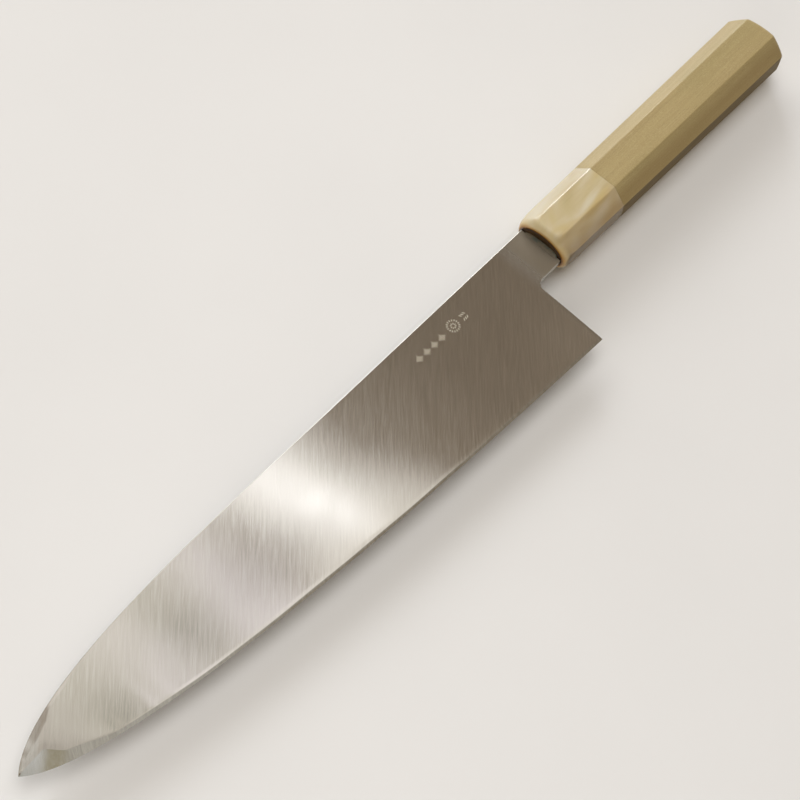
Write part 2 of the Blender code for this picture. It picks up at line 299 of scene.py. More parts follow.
class Section:
    """Half section of the blade at x: spine, straight cheek, hollow flank, bevel."""

    def __init__(self, x):
        self.x = x
        self.spine = spine_y(x)
        self.edge = max(edge_y(x), EDGE_LOW + 0.005)
        self.height = self.spine - self.edge
        self.spine_half = spine_half(x)
        self.bevel = min(bevel_width(x), 0.56 * self.height)
        self.bevel_y = self.edge + self.bevel
        # tip: a facet along the spine, with a short steeper sliver inside it
        wider = smooth(*FACET_WIDER, x)
        self.facet = min(FACET_WIDTH * smooth(*FACET_ON, x) + FACET_EXTRA * wider,
                         0.2 * self.height) * smooth(*FACET_OFF, x)
        sliver = smooth(*SLIVER_ON, x) * smooth(*SLIVER_OFF, x)
        self.sliver = self.facet + min(SLIVER_WIDTH * sliver, 0.14 * self.height)
        # the facets never take more than half of what is there
        self.facet_slope = min(FACET_SLOPE, 0.22 * self.spine_half / max(self.facet, 1e-6))
        self.sliver_slope = min(SLIVER_SLOPE, 0.28 * self.spine_half
                                / max(self.sliver - self.facet, 1e-6))
        part = CHEEK_PART - CHEEK_PART_LOSS * wider
        self.flat_y = self.spine - max(part * self.height,
                                       min(self.sliver + 0.25, 0.36 * self.height))
        # the bevel's angle wanders towards the tip
        lean = BEVEL_LEAN + wave(*LEAN_WAVE, x) * smooth(*LEAN_WAVE_ON, x)
        straight = self.spine_half - CHEEK_SLOPE * (self.spine - self.bevel_y)
        self.bevel_half = min(lean * self.bevel, 0.82 * straight)
        self.hollow = (straight - self.bevel_half) / (self.flat_y - self.bevel_y) ** 2
        # a thinned spine has room only for a smaller eased corner
        self.corner = min(EDGE_CORNER, 0.3 * self.spine_half, 0.08 * self.height,
                          0.5 * self.z(self.spine))

    def z(self, y):
        """Half thickness at y."""
        if y <= self.bevel_y:
            return max(0.0, self.bevel_half * (y - self.edge) / self.bevel)
        depth = self.spine - y
        z = self.spine_half - CHEEK_SLOPE * depth
        if y < self.flat_y:
            z -= self.hollow * (self.flat_y - y) ** 2
        if depth < self.sliver:
            z -= self.sliver_slope * (self.sliver - max(depth, self.facet))
        if depth < self.facet:
            z -= self.facet_slope * (self.facet - depth)
        return z

    def points(self):
        """Points from the middle of the spine, down the +Z face, to the edge."""
        top, radius = self.spine, self.corner
        corner_z = self.z(top - radius)
        rows = [(top, 0.0), (top, 0.45 * (corner_z - radius)),
                (top, (corner_z - radius) * 0.96)]
        for degrees in (8, 30, 55, 80):
            angle = math.radians(degrees)
            rows.append((top - radius + radius * math.cos(angle),
                         corner_z - radius + radius * math.sin(angle)))
        # a pair of rows on either side of each facet's border
        step = 0.02 * min(1.0, self.height / 8)
        marks = [top - radius, top - radius - 2 * step]
        for depth in (self.facet - 0.05, self.facet + 0.05,
                      self.sliver - 0.05, self.sliver + 0.05):
            marks.append(min(top - depth, marks[-1] - step))
        base = marks[-1]
        marks += [base + (self.flat_y - base) * i / 5 for i in range(1, 6)]
        low = self.bevel_y + 0.05 * min(1.0, self.bevel)
        marks += [self.flat_y + (low - self.flat_y) * i / 18 for i in range(1, 19)]
        marks += [self.bevel_y - 0.03 * min(1.0, self.bevel),
                  self.edge + 0.5 * self.bevel]
        rows += [(y, self.z(y)) for y in marks]
        rows.append((self.edge, 0.0))
        return [point(self.x, y, z) for y, z in rows]


SATIN, SPINE, BEVEL, ETCH = range(4)         # the blade's material slots
SPINE_ROWS, BEVEL_ROWS = 7, 2                # strips of a section in those slots


def blade_grid():
    """The blade without tang: a grid over the +Z half, mirrored."""
    xs = list(np.linspace(NECK_BACK_X, TIP_ZONE_X, 190))
    xs += [TIP_ZONE_X + (TIP_X - TIP_ZONE_X) * math.sin(t * math.pi / 2)
           for t in np.linspace(0, 1, 62)[1:-3]]
    bm = bmesh.new()
    columns = [[bm.verts.new(p) for p in Section(x).points()] for x in xs]
    strips = len(columns[0]) - 1
    for a, b in zip(columns, columns[1:]):
        for i in range(strips):
            face = bm.faces.new((a[i], b[i], b[i + 1], a[i + 1]))
            face.material_index = (SPINE if i < SPINE_ROWS else
                                   BEVEL if i >= strips - BEVEL_ROWS else SATIN)
    tip = bm.verts.new(point(TIP_X, TIP_Y, 0.0))
    last = columns[-1]
    for i in range(strips):
        face = bm.faces.new((last[i], tip, last[i + 1]))
        face.material_index = SPINE if i < SPINE_ROWS else BEVEL
    back = bm.faces.new(columns[0])
    back.material_index = SPINE
    bm.normal_update()
    # the largest cheek face shows which way the grid is wound
    probe = max((f for f in bm.faces if f.material_index == SATIN),
                key=lambda f: f.calc_area())
    if probe.normal.z < 0:
        bmesh.ops.reverse_faces(bm, faces=bm.faces)
    back.normal_update()
    if back.normal.x < 0:
        back.normal_flip()
    ob = link_mesh("blade_visual", bm, *STEEL_SET)
    mirror = ob.modifiers.new("other_face", "MIRROR")
    mirror.use_axis = (False, False, True)
    mirror.merge_threshold = 1e-6
    return bake(ob)


def choil_cutter():
    """A plate that takes away everything below the neck, with a rounded inner corner."""
    arc = [(CHOIL_X + CHOIL_R * (1 - math.cos(angle)),
            NECK_BOTTOM_Y - CHOIL_R * (1 - math.sin(angle)))
           for angle in np.linspace(0, math.pi / 2, 25)]
    outline = ([(HEEL_X, CHOIL_CUT_LOW_Y), (HEEL_X, HEEL_Y)] + arc
               + [(CHOIL_CUT_BACK_X, NECK_BOTTOM_Y + 0.1),
                  (CHOIL_CUT_BACK_X, CHOIL_CUT_LOW_Y)])
    bm = bmesh.new()
    face = bm.faces.new([bm.verts.new(point(x, y, -CHOIL_PLATE_HALF)) for x, y in outline])
    grown = bmesh.ops.extrude_face_region(bm, geom=[face])["geom"]
    bmesh.ops.translate(bm, vec=point(0, 0, 2 * CHOIL_PLATE_HALF),
                        verts=[g for g in grown if isinstance(g, bmesh.types.BMVert)])
    bmesh.ops.recalc_face_normals(bm, faces=bm.faces)
    return link_mesh("choil_cutter", bm, STEEL_SET[SPINE])


def ease_choil(ob):
    """Rounds the sharp edges of the choil and of the neck's underside."""
    def in_choil(vert):
        place = vert.co / MM
        return (HEEL_X - 0.2 < place.x < NECK_BACK_X + 0.05
                and -40.0 < place.y < NECK_BOTTOM_Y + 0.4)

    bm = bmesh.new()
    bm.from_mesh(ob.data)
    bm.normal_update()
    edges = [e for e in bm.edges if len(e.link_faces) == 2
             and e.calc_face_angle() > math.radians(50)
             and all(in_choil(vert) for vert in e.verts)]
    bmesh.ops.bevel(bm, geom=edges, offset=CHOIL_EASE * MM, segments=3, profile=0.5,
                    affect="EDGES", clamp_overlap=True, material=SPINE)
    bm.to_mesh(ob.data)
    bm.free()


# ---------------------------------------------------------------------------
# tang
# ---------------------------------------------------------------------------
def tang_size(x):
    """Height and thickness of the tang at x."""
    share = (x - TANG_X0) / (TANG_END - TANG_X0)
    return [front + (back - front) * share for front, back in zip(TANG_FRONT, TANG_BACK)]


def grown_size(size, fit):
    return [side + 2 * fit for side in size]


def tang_cutter(name, x1, fit):
    return tapered_bar(name, CUT_START_X, x1, grown_size(tang_size(CUT_START_X), fit),
                       grown_size(tang_size(x1), fit))


# ---------------------------------------------------------------------------
# chiselled ornament: short nicks, cut into the left cheek
# ---------------------------------------------------------------------------
LOZENGE_X, LOZENGE_Y, LOZENGE_PITCH, LOZENGES = -72.0, 0.2, 4.3, 4
LOZENGE_LINES = ((-1.44, 1.1), (-0.72, 2.9), (0.0, 4.6), (0.72, 2.9), (1.44, 1.1))  # x, length
ROSETTE_X, ROSETTE_Y = -52.2, 0.6
ROSETTE_RINGS = ((8, 1.0, 1.0, 0.0), (16, 2.45, 1.3, 0.5))  # petals, radius, length, turn
CHEVRON_X, CHEVRON_Y, CHEVRON_PITCH, CHEVRONS = -47.0, 0.5, 0.95, 3
CHEVRON_SPREAD, CHEVRON_ANGLE, CHEVRON_LENGTH = 1.05, -58, 1.8


def nick(bm, x, y, angle, length):
    """One chisel nick: a pointed groove, deepest in its middle."""
    cheek_z = Section(x).z(y)
    cos, sin = math.cos(angle), math.sin(angle)

    def put(along, across, rise):
        return bm.verts.new(point(x + along * cos - across * sin,
                                  y + along * sin + across * cos, cheek_z + rise))

    half_length = length / 2 + NICK_RISE
    half_width = NICK_WIDTH / 2
    widening = 1 + NICK_RISE / NICK_DEPTH
    points = [put(-half_length, 0, NICK_RISE), put(half_length, 0, NICK_RISE)]
    for share, side in ((-0.2, 1), (0.2, 1), (-0.2, -1), (0.2, -1)):
        points.append(put(share * length, side * half_width * widening, NICK_RISE))
    points += [put(share * length, 0, -NICK_DEPTH) for share in (-0.22, 0.22)]
    bmesh.ops.convex_hull(bm, input=points)


def ornament_cutter():
    """Four hatched lozenges in a row, a rosette and three chevrons."""
    bm = bmesh.new()
    random = np.random.RandomState(7)

    def shaky(value, error):
        return value + random.uniform(-error, error)

    for k in range(LOZENGES):
        centre_x = LOZENGE_X + LOZENGE_PITCH * k
        for x, length in LOZENGE_LINES:
            nick(bm, shaky(centre_x + x, 0.02), shaky(LOZENGE_Y, 0.02),
                 shaky(math.pi / 2, 0.03), length)
    for count, radius, length, turn in ROSETTE_RINGS:
        for k in range(count):
            angle = 2 * math.pi * (k + turn) / count
            nick(bm, ROSETTE_X + radius * math.cos(angle),
                 ROSETTE_Y + radius * math.sin(angle), shaky(angle, 0.04), length)
    for k in range(CHEVRONS):
        for side in (-1, 1):
            nick(bm, CHEVRON_X + CHEVRON_PITCH * k, CHEVRON_Y + side * CHEVRON_SPREAD,
                 side * math.radians(CHEVRON_ANGLE), CHEVRON_LENGTH)
    bmesh.ops.recalc_face_normals(bm, faces=bm.faces)
    return link_mesh("ornament_cutter", bm, STEEL_SET[ETCH])


# ---------------------------------------------------------------------------
# shader node helpers
# ---------------------------------------------------------------------------
def srgb(*channels):
    """Linear RGBA of an 8-bit display colour."""
    def linear(c):
        c /= 255.0
        return c / 12.92 if c <= 0.04045 else ((c + 0.055) / 1.055) ** 2.4
    return (*map(linear, channels), 1.0)


class Graph:
    """Adds nodes to a node tree. Inputs may be plain values or output sockets."""

    spare_operand = 0.0          # what an unused third input of a math node holds

    def __init__(self, tree):
        self.tree = tree

    def add(self, kind):
        return self.tree.nodes.new(kind)

    def put(self, socket, value):
        if isinstance(value, bpy.types.NodeSocket):
            self.tree.links.new(value, socket)
        else:
            socket.default_value = value

    def math(self, operation, a, b=0.0, c=None, clamp=False):
        node = self.add("ShaderNodeMath")
        node.operation = operation
        node.use_clamp = clamp
        c = self.spare_operand if c is None else c
        for socket, value in zip(node.inputs, (a, b, c)):
            self.put(socket, value)
        return node.outputs[0]

    def plus(self, a, b, clamp=False):
        return self.math("ADD", a, b, clamp=clamp)

    def minus(self, a, b):
        return self.math("SUBTRACT", a, b)

    def times(self, a, b):
        return self.math("MULTIPLY", a, b)

    def weighted(self, *terms):
        """Sum of (value, weight) terms."""
        value, weight = terms[0]
        scaled = self.times(value, weight)
        return self.plus(scaled, self.weighted(*terms[1:])) if terms[1:] else scaled

    def length(self, a, b):
        return self.math("SQRT", self.plus(self.times(a, a), self.times(b, b)))

    def span(self, value, over, to=(0.0, 1.0), linear=False):
        """Carries the range over into the range to, clamped at both ends."""
        node = self.add("ShaderNodeMapRange")
        node.interpolation_type = "LINEAR" if linear else "SMOOTHSTEP"
        for key, number in zip(("Value", "From Min", "From Max", "To Min", "To Max"),
                               (value, *over, *to)):
            self.put(node.inputs[key], number)
        return node.outputs["Result"]

    def dot(self, vector, direction):
        node = self.add("ShaderNodeVectorMath")
        node.operation = "DOT_PRODUCT"
        self.put(node.inputs[0], vector)
        self.put(node.inputs[1], direction)
        return node.outputs["Value"]

    def shift(self, vector, offset):
        node = self.add("ShaderNodeVectorMath")
        node.operation = "ADD"
        self.put(node.inputs[0], vector)
        self.put(node.inputs[1], offset)
        return node.outputs[0]

    def paint(self, base, mask, color, amount=None):
        """Lays color over base where the mask is 1, at most by amount."""
        if amount is not None:
            mask = self.times(mask, amount)
        node = self.add("ShaderNodeMix")
        node.data_type = "RGBA"
        self.put(node.inputs[0], mask)
        self.put(node.inputs[6], base)
        self.put(node.inputs[7], color)
        return node.outputs[2]


class MaterialGraph(Graph):
    """A new material's nodes, in the piece's own coordinates."""

    INPUTS = {"color": "Base Color", "rough": "Roughness", "metal": "Metallic",
              "normal": "Normal", "aniso": "Anisotropic", "tangent": "Tangent",
              "coat": "Coat Weight", "coat_rough": "Coat Roughness",
              "sss": "Subsurface Weight", "sss_radius": "Subsurface Radius",
              "sss_scale": "Subsurface Scale", "ior": "IOR",
              "spec": "Specular IOR Level", "sheen": "Sheen Weight",
              "sheen_rough": "Sheen Roughness"}

    def __init__(self, name):
        self.material = bpy.data.materials.new(name)
        self.material.use_nodes = True
        super().__init__(self.material.node_tree)
        self.bsdf = next(node for node in self.tree.nodes
                         if node.type == "BSDF_PRINCIPLED")
        self.coord = self.add("ShaderNodeTexCoord").outputs["Object"]

    def scaled(self, x, y, z, source=None):
        """Space scaled along its axes; high numbers make fine grain."""
        node = self.add("ShaderNodeMapping")
        node.inputs["Scale"].default_value = (x, y, z)
        self.put(node.inputs["Vector"], source or self.coord)
        return node.outputs["Vector"]

    def along(self, *axes):
        """Space whose coordinates run along the given scaled directions."""
        join = self.add("ShaderNodeCombineXYZ")
        for socket, direction in zip(join.inputs, axes):
            self.put(socket, self.dot(self.coord, direction))
        return join.outputs[0]

    def noise(self, vector, detail, rough, distortion=0.0):
        node = self.add("ShaderNodeTexNoise")
        self.put(node.inputs["Vector"], vector)
        for key, value in (("Scale", 1.0), ("Detail", detail), ("Roughness", rough),
                           ("Distortion", distortion)):
            node.inputs[key].default_value = value
        return node.outputs["Fac"]

    def scratches(self, angle, across, along, seed, detail, rough):
        """Noise drawn out at angle to the X axis; across and along are its scales."""
        cos, sin = math.cos(angle), math.sin(angle)
        space = self.along((sin * across, -cos * across, 0.0),
                           (cos * along, sin * along, 0.0), (0.0, 0.0, 40.0))
        space = self.shift(space, (seed * 3.1, seed * 7.7, seed * 1.3))
        return self.noise(space, detail, rough)

    def ramp(self, factor, *stops):
        """Colour ramp of (position, colour) stops."""
        node = self.add("ShaderNodeValToRGB")
        elements = node.color_ramp.elements
        while len(elements) < len(stops):
            elements.new(0.5)
        for element, (position, color) in zip(elements, stops):
            element.position = position
            element.color = color
        self.put(node.inputs["Fac"], factor)
        return node.outputs["Color"]

    def bump(self, height, strength, distance):
        node = self.add("ShaderNodeBump")
        node.inputs["Strength"].default_value = strength
        node.inputs["Distance"].default_value = distance
        self.put(node.inputs["Height"], height)
        return node.outputs["Normal"]

    def axis(self, which):
        node = self.add("ShaderNodeSeparateXYZ")
        self.put(node.inputs[0], self.coord)
        return node.outputs[which]

    def stroke_place(self, x):
        """Place along the direction, slanted from +X to -Y, that orders the tip's strokes."""
        return self.minus(self.times(x, 0.6546), self.times(self.axis("Y"), 0.7487))

    def belly_flat(self):
        """Mask of the flat that faces -Y."""
        node = self.add("ShaderNodeSeparateXYZ")
        self.put(node.inputs[0], self.add("ShaderNodeTexCoord").outputs["Normal"])
        return self.span(node.outputs["Y"], over=(-0.84, -0.97))

    def set(self, **values):
        for key, value in values.items():
            self.put(self.bsdf.inputs[self.INPUTS[key]], value)


# ---------------------------------------------------------------------------
# materials (lengths in metres)
# ---------------------------------------------------------------------------
BRUSH = math.radians(41.2)       # the satin scratches' angle to the handle axis


def steel_satin():
    """The blade's faces: slanted satin scratches, dull against the ferrule."""
    n = MaterialGraph("steel_satin")
    fine = n.scratches(BRUSH, across=3100, along=105, seed=1, detail=3, rough=0.6)
    mid = n.scratches(BRUSH + 0.05, across=2100, along=70, seed=2, detail=3, rough=0.6)
    wide = n.scratches(BRUSH - 0.03, across=520, along=44, seed=3, detail=3, rough=0.6)
    cross = n.scratches(BRUSH + 0.17, across=2300, along=46, seed=4, detail=2, rough=0.5)
    cloud = n.scratches(BRUSH, across=42, along=26, seed=5, detail=2, rough=0.5)
    # a few deeper stray scratches
    deep = n.scratches(BRUSH + 0.08, across=2100, along=21, seed=6, detail=1, rough=0.5)
    deep = n.span(deep, over=(0.69, 0.77))
    stray = n.span(cross, over=(0.66, 0.76))
    streak = n.weighted((fine, 0.60), (mid, 0.34), (wide, 0.06))
    tone = n.ramp(streak, (0.36, srgb(200, 195, 187)), (0.50, srgb(206, 201, 193)),
                  (0.64, srgb(212, 208, 200)))
    tone = n.paint(tone, deep, srgb(238, 235, 229), amount=0.20)
    tone = n.paint(tone, stray, srgb(234, 231, 226), amount=0.12)
    # darker and duller steel over the last 18 mm before the ferrule, and a little spotty scale
    # and glue haze in the corner against it
    x = n.axis("X")
    spots = n.noise(n.along((420, 0, 0), (0, 420, 0), (0, 0, 420)), detail=4, rough=0.65)
    dull = n.span(x, over=(-0.0180, -0.0045))
    tone = n.paint(tone, n.times(dull, n.minus(1.9, dull)), srgb(130, 120, 103))
    haze = n.times(n.span(x, over=(-0.0034, 0.0006)),
                   n.span(spots, over=(0.42, 0.60), to=(0.10, 1.0)))
    tone = n.paint(tone, haze, srgb(84, 84, 72), amount=0.35)
    # inside the mouth the steel was never polished: grey scale, teal specks
    inner = n.span(x, over=(-0.0009, -0.0001))
    scale = n.ramp(spots, (0.40, srgb(132, 122, 102)), (0.52, srgb(122, 117, 100)),
                   (0.62, srgb(96, 104, 96)))
    tone = n.paint(tone, inner, scale, amount=0.9)
    # haze, mouth and dull zone each take away some metal
    metal = n.minus(1.0, n.weighted((haze, 0.1), (inner, 0.30)))
    metal = n.minus(metal, n.times(dull, 0.5))
    rough = n.plus(n.span(streak, over=(0.36, 0.64), to=(0.085, 0.110), linear=True),
                   n.span(cloud, over=(0.35, 0.65), to=(-0.008, 0.012), linear=True))
    for zone, added_rough in ((dull, 0.34), (inner, 0.15)):
        rough = n.plus(rough, n.times(zone, added_rough))
    # painted reflections along the last strokes at the tip: a bluish light patch, then a
    # duller one
    place = n.stroke_place(x)
    light = n.times(n.span(place, over=(-0.1740, -0.1752)),
                    n.span(place, over=(-0.1800, -0.1788)))
    tone = n.paint(tone, light, srgb(216, 219, 218), amount=0.30)
    tone = n.paint(tone, n.span(place, over=(-0.1788, -0.1806), to=(0.0, 0.35)),
                   srgb(150, 148, 134))
    height = n.weighted((fine, 0.5), (mid, 0.45), (wide, 0.07), (deep, -0.30))
    tangent = n.add("ShaderNodeTangent")
    tangent.direction_type = "UV_MAP"
    tangent.uv_map = "brush"
    n.set(color=tone, rough=rough, metal=metal, aniso=0.5, tangent=tangent.outputs[0],
          normal=n.bump(height, strength=0.072, distance=0.000014))
    return n.material


def steel_spine():
    """Spine, choil and neck edges: drawn lengthwise, then eased bright."""
    n = MaterialGraph("steel_spine")
    line = n.noise(n.scaled(60, 3500, 3500), detail=4, rough=0.65)
    tone = n.ramp(line, (0.3, srgb(190, 186, 176)), (0.7, srgb(224, 221, 214)))
    # painted shade: the spine's colour darkens towards the handle, which dims its highlight
    # there
    tone = n.paint(tone, n.span(n.axis("X"), over=(-0.110, -0.030), to=(0.0, 0.45)),
                   srgb(150, 145, 132))
    # scale left by the forge close to the handle
    x = n.axis("X")
    dirt = n.noise(n.scaled(900, 900, 900), detail=5, rough=0.7)
    near = n.span(x, over=(-0.0035, 0.0002))
    dark = n.times(near, n.span(dirt, over=(0.42, 0.6), to=(0.25, 0.9)))
    tone = n.paint(tone, dark, srgb(84, 82, 68))
    n.set(color=tone, metal=n.minus(1.0, dark),
          rough=n.span(line, over=(0.3, 0.7), to=(0.13, 0.22), linear=True),
          normal=n.bump(line, strength=0.10, distance=0.000006))
    return n.material


def steel_bevel():
    """Whetstone-finished cutting bevel: bright, with faint stone lines."""
    n = MaterialGraph("steel_bevel")
    stone = n.scratches(math.radians(58), across=2600, along=90, seed=8, detail=3, rough=0.6)
    haze = n.noise(n.scaled(120, 120, 120), detail=2, rough=0.5)
    tone = n.ramp(stone, (0.3, srgb(178, 176, 167)), (0.7, srgb(206, 204, 196)))
    # painted reflections along the tip's last strokes: an olive patch a few strokes wide, then
    # a lighter and a duller stretch, with blurred borders
    place = n.stroke_place(n.axis("X"))
    blur = n.times(n.minus(haze, 0.5), 0.004)
    place = n.plus(place, blur)
    past = n.span(place, over=(-0.1705, -0.1748))
    olive = n.times(n.span(place, over=(-0.1630, -0.1682)), n.minus(1.0, past))
    mottle = n.noise(n.scaled(760, 760, 760), detail=3, rough=0.6)
    olive = n.times(olive, n.span(mottle, over=(0.32, 0.62), to=(0.55, 0.80)))
    tone = n.paint(tone, olive, srgb(172, 166, 142))
    tone = n.paint(tone, past, srgb(212, 214, 212), amount=0.8)
    tone = n.paint(tone, n.span(place, over=(-0.1780, -0.1812), to=(0.0, 0.55)),
                   srgb(166, 164, 151))
    rough = n.plus(n.span(stone, over=(0.3, 0.7), to=(0.13, 0.17), linear=True),
                   n.span(haze, over=(0.4, 0.65), to=(0.0, 0.05), linear=True))
    n.set(color=tone, metal=1.0, rough=rough,
          normal=n.bump(stone, strength=0.05, distance=0.000003))
    return n.material


def steel_etch():
    """Inside of the chisel nicks: frosted, pale burr."""
    n = MaterialGraph("steel_etch")
    grit = n.noise(n.scaled(5200, 5200, 5200), detail=3, rough=0.6)
    n.set(color=n.ramp(grit, (0.3, srgb(188, 182, 164)), (0.7, srgb(222, 217, 201))),
          metal=0.2, rough=0.55, normal=n.bump(grit, strength=0.4, distance=0.00002))
    return n.material


def horn():
    """Blond horn of the ferrule: clouded, with a painted glow along the lip and painted shade,
    dark brown, at the mouth.
    """
    n = MaterialGraph("blond_horn")
    x = n.axis("X")
    # milk: long soft clouds; ochre: clearer, yellower zones between them
    milk = n.noise(n.along((36, 14, 0), (-12, 76, 18), (0, -16, 76)),
                   detail=2, rough=0.5, distortion=0.5)
    ochre = n.noise(n.along((33, 16, 0), (-8, 64, 22), (5, -16, 64)),
                    detail=2, rough=0.5, distortion=0.6)
    veil = n.noise(n.along((70, 18, 0), (-18, 210, 50), (0, -50, 210)),
                   detail=4, rough=0.5, distortion=0.4)
    hair = n.noise(n.along((70, 0, 0), (0, 2100, 0), (0, 0, 2100)), detail=3, rough=0.6)
    base = n.ramp(milk, (0.34, srgb(186, 170, 128)), (0.50, srgb(197, 183, 146)),
                  (0.64, srgb(207, 198, 172)))
    zone = n.span(n.axis("Y"), over=(0.0040, 0.0085), to=(1.0, 0.15))
    base = n.paint(base, n.times(zone, n.span(ochre, over=(0.46, 0.64), to=(0.0, 0.62))),
                   srgb(192, 168, 104))
    base = n.paint(base, n.span(veil, over=(0.52, 0.74), to=(0.0, 0.26)),
                   srgb(208, 200, 178))
    base = n.paint(base, n.span(veil, over=(0.44, 0.28), to=(0.0, 0.20)),
                   srgb(160, 134, 98))
    # painted shade by side: the spine side is toned greyer, the belly side a little rosier,
    # then darker
    for over, amount, color in (((0.0040, 0.0085), 0.45, srgb(186, 176, 152)),
                                ((-0.0035, -0.0080), 0.30, srgb(178, 150, 116)),
                                ((-0.0080, -0.0118), 0.40, srgb(128, 104, 70))):
        base = n.paint(base, n.span(n.axis("Y"), over=over, to=(0.0, amount)), color)
    base = n.paint(base, n.span(hair, over=(0.55, 0.75), to=(0.0, 0.12)),
                   srgb(146, 121, 84))
    # the rim thins towards the oval mouth: painted glow of light through the thin horn, cream
    # then amber, on its own amber tint; then painted shade, dark brown, at the mouth's edge
    reach_y = n.math("DIVIDE", n.axis("Y"), LIP_Y * MM)
    reach_z = n.math("DIVIDE", n.axis("Z"), LIP_Z * MM)
    reach = n.length(reach_y, reach_z)
    front = n.span(x, over=(0.0034, 0.0008))
    for over, amount, color in (((1.12, 1.5), 0.60, srgb(226, 206, 150)),
                                ((1.02, 1.26), 0.95, srgb(184, 132, 52)),
                                ((1.00, 1.10), 0.85, srgb(96, 58, 22))):
        mask = n.times(front, n.span(reach, over=over, to=(amount, 0.0)))
        base = n.paint(base, mask, color)
    # painted shade: darker still on the lip's inner edge at the front
    mouth = n.times(n.span(x, over=(0.0010, 0.0002)),
                    n.span(reach, over=(0.97, 1.02), to=(0.92, 0.0)))
    base = n.paint(base, mouth, srgb(48, 30, 16))
    # the flat facing -Y is kept darker and duller, because the pale floor
    # lights it and it is seen at a grazing angle
    belly = n.belly_flat()
    base = n.paint(base, belly, srgb(70, 54, 34), amount=0.60)
    n.set(color=base, rough=n.span(veil, over=(0.3, 0.7), to=(0.17, 0.25), linear=True),
          ior=1.54, sss=0.22, sss_radius=(1.0, 0.66, 0.34), sss_scale=0.0016,
          coat=n.times(n.minus(1.0, belly), 0.38), coat_rough=0.06,
          spec=n.math("MULTIPLY_ADD", belly, -0.35, 0.5),
          normal=n.bump(n.plus(hair, n.times(veil, 0.3)), strength=0.04,
                        distance=0.00003))
    return n.material


def wood():
    """Pale magnolia wood of the handle, with the grain along X."""
    n = MaterialGraph("magnolia_wood")
    # the grain wanders sideways by a few millimetres
    wobble = n.noise(n.along((9, 0, 0), (0, 55, 0), (0, 0, 55)), detail=2, rough=0.5)
    offset = n.add("ShaderNodeCombineXYZ")
    for key, reach in (("Y", 0.0034), ("Z", 0.0022)):
        n.put(offset.inputs[key], n.times(wobble, reach))
    space = n.shift(n.coord, offset.outputs[0])
    # growth layers, fibre, pores and slow blotches
    ring = n.noise(n.scaled(3.0, 190, 330, source=space), detail=2, rough=0.5)
    fibre = n.noise(n.scaled(46, 1900, 1900, source=space), detail=5, rough=0.66)
    pore = n.noise(n.scaled(330, 3600, 3600, source=space), detail=2, rough=0.5)
    pores = n.span(pore, over=(0.62, 0.71))
    speck = n.noise(n.scaled(1500, 2600, 2600), detail=3, rough=0.65)
    blotch = n.noise(n.scaled(17, 60, 60), detail=3, rough=0.55)
    base = n.ramp(ring, (0.30, srgb(161, 142, 97)), (0.48, srgb(168, 149, 102)),
                  (0.66, srgb(175, 157, 110)))
    for grain, over, amount, color in (
            (fibre, (0.44, 0.70), 0.30, srgb(146, 127, 82)),
            (fibre, (0.46, 0.30), 0.24, srgb(192, 178, 138)),
            (blotch, (0.48, 0.72), 0.34, srgb(152, 138, 90)),
            (speck, (0.52, 0.72), 0.34, srgb(198, 186, 150)),
            (speck, (0.48, 0.30), 0.30, srgb(140, 121, 78))):
        base = n.paint(base, n.span(grain, over=over, to=(0.0, amount)), color)
    # the belly side is kept darker, because the pale floor lights it
    base = n.paint(base, n.span(n.axis("Y"), over=(-0.0064, -0.0098), to=(0.0, 0.42)),
                   srgb(138, 114, 70))
    base = n.paint(base, pores, srgb(118, 97, 56), amount=0.30)
    # the last millimetre at the ferrule took a little glue
    seam = n.span(n.axis("X"), over=(SEAM_X * MM + 0.0008, SEAM_X * MM), to=(0.0, 0.12))
    base = n.paint(base, seam, srgb(124, 104, 66))
    height = n.minus(n.weighted((fibre, 0.7), (speck, 0.3)), n.times(pores, 0.8))
    # painted shade: the flat facing -Y is darker and duller, as on the ferrule
    belly = n.belly_flat()
    base = n.paint(base, belly, srgb(66, 52, 30), amount=0.60)
    n.set(color=base, rough=n.span(fibre, over=(0.3, 0.7), to=(0.42, 0.56), linear=True),
          spec=n.math("MULTIPLY_ADD", belly, -0.42, 0.5),
          sheen=n.times(n.minus(1.0, belly), 0.55), sheen_rough=0.32,
          normal=n.bump(height, strength=0.14, distance=0.00005))
    return n.material


def resin():
    """Dark resin that closes the ferrule's mouth."""
    n = MaterialGraph("dark_resin")
    grain = n.noise(n.scaled(700, 700, 700), detail=4, rough=0.6)
    tone = n.ramp(grain, (0.3, srgb(58, 42, 24)), (0.7, srgb(98, 74, 46)))
    # a lighter, speckled tone close to the tang
    away = n.math("ABSOLUTE", n.axis("Z"))
    lighter_near_tang = n.times(n.span(away, over=(0.0034, 0.0014)),
                   n.span(grain, over=(0.35, 0.60), to=(0.05, 0.40)))
    tone = n.paint(tone, lighter_near_tang, srgb(112, 96, 68))
    n.set(color=tone,
          rough=n.span(grain, over=(0.3, 0.7), to=(0.42, 0.60), linear=True), spec=0.3,
          normal=n.bump(grain, strength=0.35, distance=0.00008))
    return n.material


def floor_material():
    """Pale, almost even floor; its colours are linear."""
    n = MaterialGraph("studio_floor")
    soft = n.noise(n.scaled(7, 7, 7), detail=3, rough=0.5)
    n.set(color=n.ramp(soft, (0.3, (0.735, 0.735, 0.730, 1)),
                       (0.7, (0.765, 0.765, 0.760, 1))),
          rough=0.65, spec=0.2)
    return n.material


# in the order of the slots SATIN, SPINE, BEVEL, ETCH
STEEL_SET = [steel_satin(), steel_spine(), steel_bevel(), steel_etch()]
HORN, WOOD, RESIN = horn(), wood(), resin()


